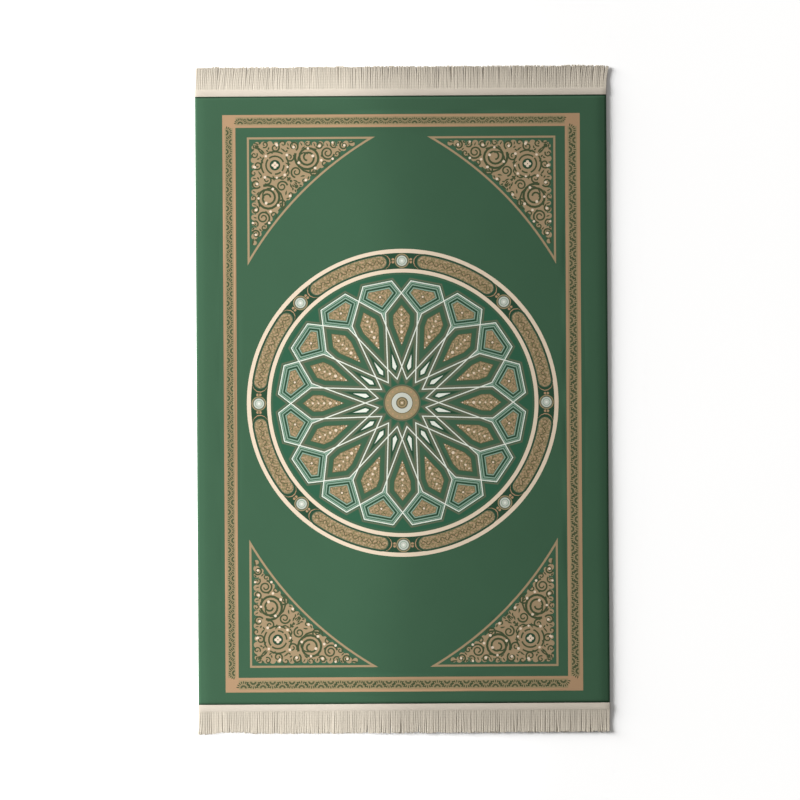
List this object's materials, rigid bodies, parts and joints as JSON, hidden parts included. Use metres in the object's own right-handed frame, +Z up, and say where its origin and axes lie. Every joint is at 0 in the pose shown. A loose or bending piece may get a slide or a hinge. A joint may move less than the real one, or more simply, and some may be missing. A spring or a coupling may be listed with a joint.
{
  "type": "prayer rug",
  "caption": "Flat rectangular pile rug with a heading tape and a long fringe at each end, laid on a floor.",
  "frame": {"origin": "middle of the rug's length and width, on the floor it lies on", "axes": "+Z up out of the pile, +Y along the rug towards its head end, +X across it to the right"},
  "size_m": [0.803, 1.3052, 0.0079],
  "materials": {
    "pile": "dense cut pile, woven in green, tan, cream and sage, matt",
    "tape": "plain woven cotton band, natural cream, matt",
    "fringe": "soft cotton strands, natural cream, matt"
  },
  "bodies": {
    "root": {"rug": "pile", "tape_head": "tape", "tape_foot": "tape", "fringe_head": "fringe", "fringe_foot": "fringe"}
  },
  "joints": []
}
